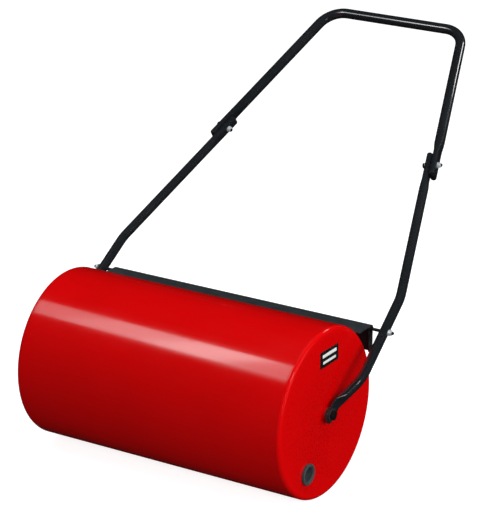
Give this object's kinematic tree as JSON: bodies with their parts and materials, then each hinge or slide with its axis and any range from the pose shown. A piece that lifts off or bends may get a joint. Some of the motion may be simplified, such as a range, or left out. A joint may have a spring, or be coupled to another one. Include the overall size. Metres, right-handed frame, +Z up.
{
  "type": "lawn roller",
  "caption": "Push-along garden roller: a hollow water-filled steel drum turning between two tube arms with a U-shaped handle and an angle scraper.",
  "frame": {"origin": "on the ground, under the middle of the drum's axis", "axes": "+X along the drum axis towards the filler end, +Y back towards the person pushing, +Z up"},
  "size_m": [0.662, 0.914, 0.6852],
  "materials": {
    "drum_paint": "glossy red powder coat",
    "frame_paint": "satin black powder coat",
    "scraper_paint": "satin dark grey powder coat",
    "zinc": "bright zinc plate",
    "black_steel": "black oxide",
    "nylon": "moulded nylon",
    "cap_plastic": "moulded plastic",
    "bung_rubber": "moulded rubber",
    "label": "printed label"
  },
  "bodies": {
    "frame": {"arm_left": "frame_paint", "arm_right": "frame_paint", "bush_left": "nylon", "bush_right": "nylon", "handle_bar": "frame_paint", "arm_end_caps": "cap_plastic", "handle_end_caps": "cap_plastic", "joint_bolts": "black_steel", "joint_nuts": "zinc", "joint_washers": "zinc", "scraper_blade": "scraper_paint", "scraper_studs": "black_steel", "scraper_washers": "zinc", "scraper_nuts": "zinc"},
    "drum": {"drum_shell": "drum_paint", "end_disc_left": "drum_paint", "end_disc_right": "drum_paint", "hub_boss_left": "drum_paint", "hub_boss_right": "drum_paint", "axle_bolt_left": "black_steel", "axle_bolt_right": "black_steel", "thrust_washers": "nylon", "label_plate": "label"},
    "bung": {"filler_bung": "bung_rubber"}
  },
  "joints": [
    {"name": "drum_roll", "type": "hinge", "parent": "frame", "child": "drum", "pos_m": [0, 0, 0.16], "axis": [1, 0, 0], "continuous": true},
    {"name": "bung_pull", "type": "slide", "parent": "drum", "child": "bung", "axis": [1, 0, 0], "range_m": [0, 0.06]}
  ]
}
